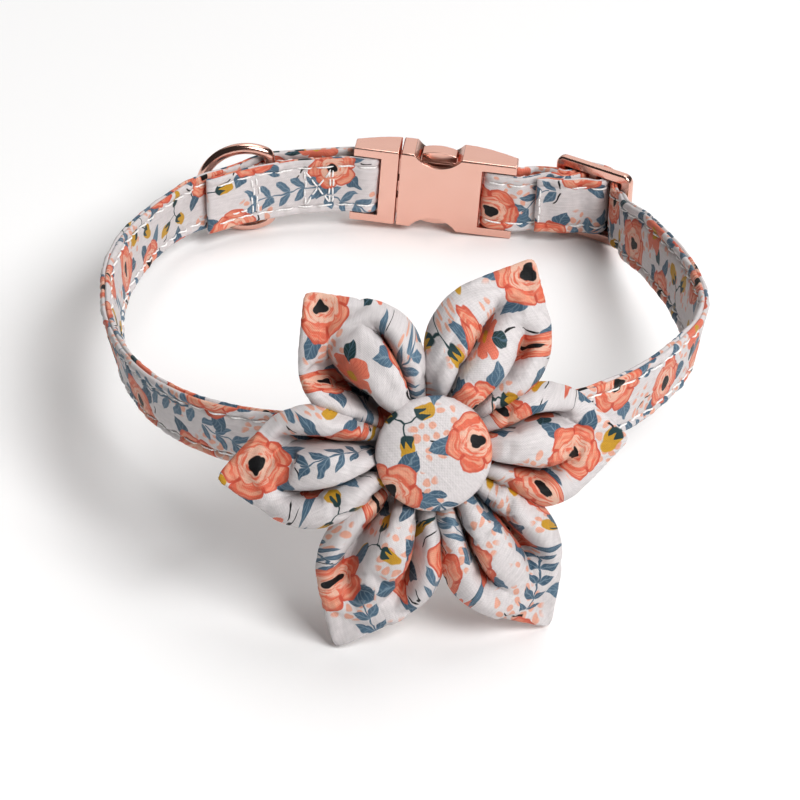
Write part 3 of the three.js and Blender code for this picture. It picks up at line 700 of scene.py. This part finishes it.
# ---- Sewing.
class Sewing:
    """Stitches of thread laid on the strap, gathered into one piece."""

    def __init__(self):
        self.points, self.faces, self.map = [], [], []
        self.count = 0
        self.dice = np.random.default_rng(7)

    def stitch(self, centres, normals):
        """One stitch along its centres, which starts and ends in the cloth."""
        steps, sides = len(centres), THREAD.sides
        along = unit(np.gradient(centres, axis=0))
        side = unit(np.cross(along, normals))
        taper = np.sqrt(np.clip(np.sin(np.linspace(0.12, pi - 0.12, steps)) * 1.6, 0, 1))
        radius = THREAD.radius * taper[:, None, None]
        self.points.append(centres[:, None] + circles(side, np.cross(side, along), sides) * radius)
        for face in tube_faces(steps, sides, "capped"):
            self.faces.append(tuple(self.count + k for k in face))
        self.count += steps * sides
        reach = np.linspace(0, norm(centres[-1] - centres[0]), steps)
        girth = np.linspace(0, 2 * pi * THREAD.radius, sides + 1)
        self.map += [cloth_map(cloth_grid(reach, girth)).reshape(-1, 2), np.zeros((2 * sides, 2))]

    def line(self, start, end, face, pitch, fill=0.84, depth=0.7, sway=0.0):
        """A row of stitches between two places on the strap, each (along, across)."""
        start, end = np.array(start, float), np.array(end, float)
        count = max(1, round(norm(end - start) / pitch))
        heading = unit(end - start)
        normal = np.array([-heading[1], heading[0]])
        t = np.linspace(0, 1, 7)
        for i in range(count):
            slip = self.dice.uniform(-0.08, 0.08, 2)
            share = (i + np.array([0.5 - fill / 2, 0.5 + fill / 2]) + slip * 0.5) / count
            spot = start + (end - start) * (share[0] + (share[1] - share[0]) * t)[:, None]
            aside = slip[0] + sway * sin(i * 2.3) + slip[1] * (2 * t - 1)
            at, across = (spot + normal * aside[:, None]).T
            half = np.interp(at, run.at, run.thick) / 2
            off = half * depth + puckers(at, across, face) - 0.12 + 0.36 * np.sin(pi * t) ** 0.5
            self.stitch(run.point(at, across, face * off), run.of(run.out, at) * face)


def sewn_strap(finish):
    """Both edge rows on both faces, and the rows that hold the strap's turned ends."""
    sewing = Sewing()
    pitch, row = STRAP.pitch, STRAP.row
    count = int((run.length - 4) / pitch)
    for face, start in ((1, pitch / 2), (-1, pitch)):
        for across in (-row, row):
            ends = (start, across), (start + (count - 1) * pitch, across)
            sewing.line(*ends, face, pitch, THREAD.stitch / pitch)
    tall = row - 0.6

    def across_strap(at, face, *how):
        sewing.line((at, -tall), (at, tall), face, *how)

    for layer in (SEWN_LAYER, OVER_RING):
        left, right = (run.nearest(layer, x) for x in SEWN_AT.box)
        for at in (left, right - 0.3, right + 0.4):
            across_strap(at, 1, 2.6, 0.8, 1.0, 0.1)
        for side in (-tall, tall):
            sewing.line((left, side), (right, -side), 1, 2.8, 0.8, 1.0)
        bar = run.nearest(layer, SEWN_AT.ring)
        for at in (bar - 0.7, bar + 0.7):
            across_strap(at, 1, 2.4, 0.85, 1.0, 0.35)
    fold, low = run.nearest(SEWN_LAYER, SEWN_AT.fold), 1.2 - tall
    sewing.line((fold, low), (fold + 4.4, low), 1, 2.2, 0.8, 1.0, 0.2)
    across_strap(run.length - 0.8, -1, 2.5, 0.82, 1.0, 0.1)
    points = np.vstack([stitch.reshape(-1, 3) for stitch in sewing.points])
    return mesh_piece("strap_stitches", points, sewing.faces, finish, np.vstack(sewing.map))


# ---- The hardware.
def eased_metal(node, part, finish, walls):
    """A stand-in for a metal node of the frame, with the same faces and softened edges. The walls
    across its length have a rougher finish of their own with painted shade, except at its ends."""
    place = hardware_frame(part)
    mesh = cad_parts[node].data.copy()
    mesh.name = node + "_metal"
    shape = bmesh.new()
    shape.from_mesh(mesh)
    bmesh.ops.remove_doubles(shape, verts=shape.verts, dist=0.002 * MM)
    bmesh.ops.dissolve_limit(shape, angle_limit=radians(1.2), verts=shape.verts, edges=shape.edges)
    bmesh.ops.recalc_face_normals(shape, faces=shape.faces)
    shape.to_mesh(mesh)
    shape.free()
    mesh.materials.clear()
    mesh.materials.append(finish)
    mesh.materials.append(walls)
    # Faces across the part's length, away from its ends, take the rougher finish with painted
    # shade.
    for face in mesh.polygons:
        at = (np.array(face.center) / MM - CENTRING - place[:3, 3]) @ place[:3, 0]
        across = abs(np.array(face.normal) @ place[:3, 0]) > 0.9
        face.material_index = int(across and part.start + 0.5 < at < part.end - 0.5)
    mesh.polygons.foreach_set("use_smooth", [True] * len(mesh.polygons))
    made = put(mesh.name, mesh)
    bevel = made.modifiers.new("eased edges", "BEVEL")
    given(bevel, width=part.eased * MM, segments=3, limit_method="ANGLE", angle_limit=radians(32))
    given(bevel, miter_outer="MITER_ARC", use_clamp_overlap=True)
    given(made.modifiers.new("even faces", "WEIGHTED_NORMAL"), keep_sharp=False, weight=80)
    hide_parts(node)
    return made


def ring_wire(finish):
    """The D-ring: round wire bent into a straight bar, two tight corners and a round bow."""
    radius, to_centre, corner = RING.radius, RING.to_centre, RING.corner
    high = sqrt((radius - corner) ** 2 - (to_centre - corner) ** 2)
    meets = 180 - degrees(atan2(high, to_centre - corner))
    line = [
        *arc(corner, -high, corner, 360 - meets, 180, 13),
        *[(0, z) for z in np.linspace(-high, high, 22)[1:-1]],
        *arc(corner, high, corner, 180, meets, 13),
        *arc(to_centre, 0, radius, meets, -meets, 85)[1:-1],
    ]
    line = np.array([(x, 0, z) for x, z in line])
    along = unit(np.roll(line, -1, axis=0) - np.roll(line, 1, axis=0))
    sideways, sides = np.array([[0, 1, 0]]), 28
    points = line[:, None] + circles(sideways, np.cross(along, sideways), sides) * RING.wire / 2
    place = standing(RING.bar, radius + RING.wire / 2, RING.yaw)
    points = moved(points.reshape(-1, 3), place) + CENTRING
    return mesh_piece("d_ring_wire", points, tube_faces(len(line), sides, "joined"), finish)


# ---- The flower.
upturned = Matrix.Rotation(radians(90 - FLOWER.pitch), 4, "X")
flower_frame = np.array(Matrix.Rotation(radians(FLOWER.yaw), 4, "Z") @ upturned)
flower_frame[:3, 3] = np.array(FLOWER.centre) + CENTRING


def halfway(angle, way):
    """The angle from a petal to halfway to its neighbour on one side."""
    others = [other[1] for other in PETALS if other[1] != angle]
    return radians(min((way * (other - angle)) % 360 for other in others) / 2)


def petal_grid(row):
    """The petal's middle surface in its own frame, and how far along and across each point lies."""
    _, angle, reach, tip, cup, valleys = row
    along = np.linspace(0, 1, GRID.rows)[:, None] ** 0.96
    across = np.sin(np.linspace(-pi / 2, pi / 2, GRID.columns))[None, :]
    across = across * (0.82 + 0.18 * np.abs(across))
    swell = np.sin(pi * along**1.15).clip(0)
    outline = 0.42 * (1 - along) ** 2 + swell * (1 - 0.1 * along)
    radius = PETAL.base + (reach - 0.3 - PETAL.base) * along
    left, right = (radius * tan(halfway(angle, way)) - PETAL.gap for way in (-1, 1))
    half = np.minimum(PETAL.half * outline + PETAL.blunt, np.where(across > 0, right, left))
    side = half * across

    dent, pull = np.zeros_like(side), np.zeros_like(side)
    for foot, head, end, width, depth in valleys:
        wide = width * (0.55 + 0.8 * along)
        off = side - half * (foot + (head - foot) * smoothstep(along, 0, end))
        fade = depth * (1 - smoothstep(along, end - 0.3, end + 0.06))
        dent = np.maximum(dent, fade * np.exp(-(np.abs(off / wide) ** 3.6)))
        lean = fade * 0.5 * wide / (1 + 0.12 * wide)
        pull = pull - np.sign(off) * lean * np.exp(-(((np.abs(off) / wide - 1.25) / 0.5) ** 2))

    pleat = 1 - smoothstep(along, 0.34, 0.94)
    rise = 0.3 + 0.7 * smoothstep(along, 0, 0.26)
    body = 2.4 - 1.6 * along + 1.2 * np.sin(pi * along) + tip * along**2
    bowl = cup * np.sin(pi * along) * (across**2 - 0.4) * (1 - pleat)
    crown = (1 - 0.8 * np.abs(across) ** 4) * np.ones_like(along)
    deep = smoothstep(along, 0.08, 0.34) * (1 - smoothstep(along, 0.5, 0.85))
    ridge = PETAL.ridge * pleat * rise * crown
    height = body + bowl + ridge * (1 - dent) - PETAL.sunk * dent * deep
    height = height - 1.1 * np.abs(across) ** 6 * np.sin(pi * np.clip(along, 0, 1)) ** 0.5
    seed = round(angle * 7) % 97
    gathers = ripple(radius * 0.12, side, 2.4, seed) * (1 - smoothstep(along, 0.3, 0.75))
    waves = 0.3 * ripple(radius, side, 13, seed + 1)
    height = height + 0.2 * gathers + waves + 0.06 * ripple(radius, side, 4, seed + 2)
    y = side + pull * np.cos(across * pi / 2)
    return np.stack([radius + 0 * side, y, height], -1), along, across


def petal(row, finish, number):
    """One gathered petal of folded cloth, with the size and the area that it was cut to."""
    middle, along, across = petal_grid(row)
    crossed = np.cross(np.gradient(middle, axis=0), np.gradient(middle, axis=1))
    closing = np.sqrt(1 - np.clip((along - 0.94) / 0.062, 0, 1) ** 2)
    thick = PETAL.cloth / 2 * np.sqrt(np.clip(1 - np.abs(across) ** 9, 0, 1)) * closing
    off = unit(crossed) * thick[..., None]
    front, back = middle + off, middle - off
    girth = np.cumsum(norm(np.diff(front, axis=1), axis=2), axis=1)
    girth = np.concatenate([np.zeros((len(girth), 1)), girth], axis=1)
    centre = GRID.columns // 2
    girth = girth - girth[:, centre][:, None]

    def cut(u, v):
        turn = radians(37 + 71 * number)
        x, y = u * cos(turn) - v * sin(turn), u * sin(turn) + v * cos(turn)
        return np.stack([x + (61.7 * number + 9), y + (43.9 * number + 13)], -1)

    u = middle[:, :1, 0]
    sides = [cut(u, girth), cut(u + CUT_AT.back, -girth)[:, ::-1]]
    points = np.concatenate([front, back[:, -2:0:-1]], axis=1).reshape(-1, 3)
    points = moved(moved(points, np.array(Matrix.Rotation(radians(row[1]), 4, "Z"))), flower_frame)
    made = doubled_cloth(row[0] + "_cloth", points, sides, finish)
    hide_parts(row[0])
    flat = (girth[:, -1] - girth[:, 0]).max(), travelled(middle[:, centre])[-1]
    return made, np.array(flat) * MM, norm(crossed, axis=-1).sum() * MM**2


def held_firmly(points, reach):
    """How firmly each point of a petal is held while it fills out, most at its foot and tip."""
    local = moved(points, inv(flower_frame))
    radius = np.hypot(local[:, 0], local[:, 1])
    return 1 - smoothstep(radius, 11.5, 17) * (1 - smoothstep(radius, reach - 9, reach - 2))


def places_of(mesh):
    """A filling copy's points, in millimetres of the collar."""
    places = np.zeros(len(mesh.vertices) * 3)
    mesh.vertices.foreach_get("co", places)
    return places.reshape(-1, 3) / MM / FILL.enlarged


def filled_out(petals):
    """Lets the petals' cloth fill out for a moment. Blender's cloth does this on enlarged copies,
    and no point moves further than FILL.reach."""
    scene = bpy.context.scene
    copies = []
    for made, row in zip(petals, PETALS):
        copy = put("filling", made.data.copy())
        copy.data.transform(Matrix.Scale(FILL.enlarged, 4))
        start = places_of(copy.data)
        group = copy.vertex_groups.new(name="held")
        for i, weight in enumerate(held_firmly(start, row[2])):
            if weight > 0.001:
                group.add([i], float(weight), "REPLACE")
        cloth = copy.modifiers.new("filling", "CLOTH")
        given(cloth.settings, quality=5, mass=0.3, tension_stiffness=20, compression_stiffness=20)
        given(cloth.settings, shear_stiffness=8, bending_stiffness=1.5, air_damping=2)
        given(cloth.settings, shrink_min=FILL.slack, use_pressure=True)
        given(cloth.settings, uniform_pressure_force=FILL.pressure, vertex_group_mass="held")
        cloth.settings.effector_weights.gravity = 0
        cloth.collision_settings.use_collision = False
        given(cloth.point_cache, frame_start=1, frame_end=FILL.frames)
        copies.append((made, copy, start))
    for number in range(1, FILL.frames + 1):
        scene.frame_set(number)
    graph = bpy.context.evaluated_depsgraph_get()
    for made, copy, start in copies:
        move = places_of(copy.evaluated_get(graph).data) - start
        far = norm(move, axis=1, keepdims=True)
        move *= np.tanh(far / FILL.reach) * FILL.reach / np.maximum(far, 1e-6)
        made.data.vertices.foreach_set("co", ((start + move) * MM).ravel())
        made.data.update()
    for _, copy, _ in copies:
        bpy.data.meshes.remove(copy.data)
    scene.frame_set(1)


def covered_button(finish):
    """The button: cloth drawn over a shallow dome and gathered under its rim."""
    radius, rim, low = BUTTON.radius, BUTTON.rim, BUTTON.height
    top = BUTTON.edge + BUTTON.dome
    turn = np.linspace(0.03, pi / 2, 30)
    profile = [(radius * sin(t) ** 0.92, low + (top - low) * cos(t) ** 0.8) for t in turn]
    profile += arc(radius - rim, low, rim, 0, -90, 8)[1:]
    profile += [(r, 0.1 + 0.3 * (10.5 - r) / 5) for r in (9.6, 8.4, 7, 5.5)]
    profile, sectors = np.array(profile), 120
    angles = whole_turn(sectors)
    points = ring_of(profile[:, :1], angles, profile[:, 1:])
    reach = profile[0, 0] + travelled(profile)
    gather = smoothstep(reach, reach[25], reach[34])[:, None]
    waves = ripple(np.cos(angles) * 14, np.sin(angles) * 14, 2.2, 5)[None, :]
    points[..., :2] *= 1 - 0.012 * (gather * (waves + 1))[..., None]
    points[..., 2] += 0.05 * ripple(points[..., 0], points[..., 1], 7, 41) * (1 - gather)
    points[..., 2] += BUTTON.base
    slant = radians(CUT_AT.slant)
    slant = np.array([[cos(slant), sin(slant)], [-sin(slant), cos(slant)]])
    flat = (ring_of(reach[:, None], angles, 0)[..., :2] + CUT_AT.button) @ slant
    faces = tube_faces(len(profile), sectors, "capped")
    corners = cloth_map(np.concatenate([flat, flat[:, :1]], axis=1)).reshape(-1, 2)
    points = moved(points.reshape(-1, 3), flower_frame)
    corners = np.vstack([corners, flat[0], flat[-1]])
    return mesh_piece("button_cloth", points, faces, finish, corners)


seat_frame = standing(FLOWER.seat[:2], FLOWER.seat[2], FLOWER.yaw)
seat_frame[:3, 3] += CENTRING
to_seat = inv(seat_frame)
seat_front = -(STRAP.thick / 2 + BACKING.clear + BACKING.wall)


def felt_disc(finish):
    """The felt disc that the petals are sewn to, bent forward where it meets the loop."""
    radius, back, front = BACKING.radius - 0.4, BACKING.back, BACKING.front - 0.5
    spread = np.array([5.3, 6.4, 7.4, 8.3, 9.0, 9.35, radius])
    angles = whole_turn(96)
    trim = 1 + 0.012 * ripple(np.cos(angles) * 9, np.sin(angles) * 9, 5, 3)
    x = spread[:, None] * np.cos(angles) * trim
    y = spread[:, None] * np.sin(angles) * trim
    swell = np.sqrt(np.clip(1 - (spread / radius) ** 14, 0, 1))[:, None] * 0.5 * (front - back)
    middle = (front + back) / 2 + 0.07 * ripple(x, y, 6, 9)
    faces = np.stack([np.stack([x, y, middle + side * swell], -1) for side in (-1, 1)])
    faces = moved(faces, flower_frame)
    # Whole columns of points move forward, so that none reaches into the elastic loop.
    deepest = moved(faces, to_seat)[..., 1].max(axis=0)
    push = np.clip(deepest - seat_front + 0.15, 0, None)
    faces = faces - push[None, ..., None] * seat_frame[:3, 1]
    rings = np.concatenate([faces[0][:-1], faces[1][::-1]], axis=0)
    return mesh_piece("flower_felt", rings, tube_faces(len(rings), len(angles), "joined"), finish)


def sewn_hub(finish):
    """The gathered stalk that every petal is sewn to."""
    sectors, steps = 72, 22
    angles = whole_turn(sectors)
    folds = 1 - 0.05 * (0.5 + 0.5 * np.cos(angles * 18 + 0.8 * np.sin(angles * 3)))
    top = ring_of((BACKING.hub - 0.05) * folds, angles, BUTTON.base - 0.35)
    top, foot = (moved(end, flower_frame) for end in (top, top - [0, 0, 1]))
    depth_top, depth_foot = moved(top, to_seat)[:, 1], moved(foot, to_seat)[:, 1]
    reach = (seat_front - 0.05 - depth_top) / (depth_foot - depth_top)
    share = np.linspace(0, 1, steps)[:, None, None]
    rings = top[None] + (foot - top)[None] * reach[None, :, None] * share
    return mesh_piece("flower_hub", rings, tube_faces(steps, sectors, "capped"), finish)


def elastic_loop(finish):
    """The flat elastic that holds the flower on the strap."""
    wall, corner = BACKING.wall, 1.3
    deep = STRAP.thick / 2 + BACKING.clear + wall / 2 - corner
    tall = STRAP.width / 2 + BACKING.clear + wall / 2 - corner
    line = []
    for i, (y, z) in enumerate([(deep, tall), (-deep, tall), (-deep, -tall), (deep, -tall)]):
        line += arc(y, z, corner, 90 * i, 90 * i + 90, 8)
    line, dense = np.array(line), []
    for a, b in zip(line, np.roll(line, -1, axis=0)):
        parts = max(1, round(norm(b - a) / 0.9))
        dense += [a + (b - a) * i / parts for i in range(parts)]
    line = np.array(dense)
    tangent = unit(np.roll(line, -1, axis=0) - np.roll(line, 1, axis=0))
    outward = np.stack([tangent[:, 1], -tangent[:, 0]], -1)
    half, thin = BACKING.loop / 2, wall / 2
    flat = np.linspace(-half + 0.3, half - 0.3, 13)
    section = [(x, thin) for x in flat] + [(half, 0.35 * thin), (half, -0.35 * thin)]
    section += [(x, -thin) for x in flat[::-1]] + [(-half, -0.35 * thin), (-half, 0.35 * thin)]
    section = np.array(section)
    section[:, 1] *= 1 + 0.1 * np.cos(section[:, 0] * 2 * pi / BACKING.rib)
    across = np.broadcast_to(section[:, 0], (len(line), len(section)))
    places = line[:, None, :] + outward[:, None, :] * section[None, :, 1, None]
    points = np.concatenate([across[..., None], places], axis=-1)
    run_map = travelled(line)
    run_map = [*run_map, run_map[-1] + run_map[1]]
    corners = cloth_map(cloth_grid(run_map, travelled(np.vstack([section, section[:1]]))))
    faces = tube_faces(len(line), len(section), "joined")
    points = moved(points.reshape(-1, 3), seat_frame)
    return mesh_piece("flower_loop", points, faces, finish, corners)


# ---- The collar.
cotton = printed_cotton()
plate = rose_gold("rose_gold_satin", 0.24, 0.25)
wire = rose_gold("rose_gold_polished", 0.15, 0.1)
# Rougher rose gold with painted shade, for the walls inside the hardware's gaps and windows.
wall_painted_shade = rose_gold_shaded_walls()

strap = strap_piece(cotton)
stitches = sewn_strap(white_thread())
parts = ("buckle_plug", BUCKLE), ("buckle_socket", BUCKLE), ("slider", SLIDER)
metal = [eased_metal(node, part, plate, wall_painted_shade) for node, part in parts]
ring = ring_wire(wire)
cut_petals = [petal(row, cotton, number) for number, row in enumerate(PETALS)]
petals = [made for made, _, _ in cut_petals]
filled_out(petals)
button = covered_button(cotton)
felt = felt_disc(felt_cloth())
hub = sewn_hub(felt.data.materials[0])
loop = elastic_loop(elastic())

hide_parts("strap")
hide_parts("d_ring")
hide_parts("flower_button")
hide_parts("flower_backing")
slots = {
    "printed_cotton": (strap, *petals, button),
    "thread": (stitches,),
    "rose_gold": (*metal, ring),
    "felt": (felt, hub, loop),
}
for slot, pieces in slots.items():
    for made in pieces:
        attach(made, "d_ring" if made == ring else "collar")

# ---- The studio, in metres.
floor = bpy.data.meshes.new("floor")
floor.from_pydata([(-3, -3, 0), (3, -3, 0), (3, 3, 0), (-3, 3, 0)], [], [(0, 1, 2, 3)])
white = Finish("white_floor").surface((0.98, 0.977, 0.975), 0.7, Specular_IOR_Level=0.2)
floor.materials.append(white)
put("floor", floor)


def softbox(name, size, energy, location):
    light = given(bpy.data.lights.new(name, "AREA"), size=size, energy=energy)
    holder = given(put(name, light), location=location, rotation_mode="QUATERNION")
    holder.rotation_quaternion = holder.location.to_track_quat("Z", "Y")


softbox("key", 1.2, 55, (1.09, -1.3, 1.7))
softbox("top", 1.5, 17, (0.53, 0.63, 2.25))

# A dim sky, with one large bright panel high behind the collar, seen in the metal.
sky = Finish(bpy.data.worlds.new("studio"))
heading = sky.node("TexCoord", out="Generated")
panel = inside(worked("DOT_PRODUCT", heading, (0.07, 0.79, 0.61)) - 0.85, 0.16)
light = sky.node("Background", {"Color": (1.0, 0.985, 0.975), "Strength": panel * 0.88 + 0.05})
sky.node("OutputWorld", {"Surface": light})

camera = put("camera", bpy.data.cameras.new("camera"))
given(camera.data, sensor_width=36, lens=CAMERA.lens, clip_start=0.05)
(x, y, z), above, away = CAMERA.aim, CAMERA.above, CAMERA.away
camera.location = (x, y - away * cos(above), z + away * sin(above))
camera.rotation_euler = (pi / 2 - above, 0, 0)
bpy.context.scene.camera = camera
bpy.context.scene.world = sky.owner
given(bpy.context.scene.view_settings, view_transform="Standard", gamma=0.88)
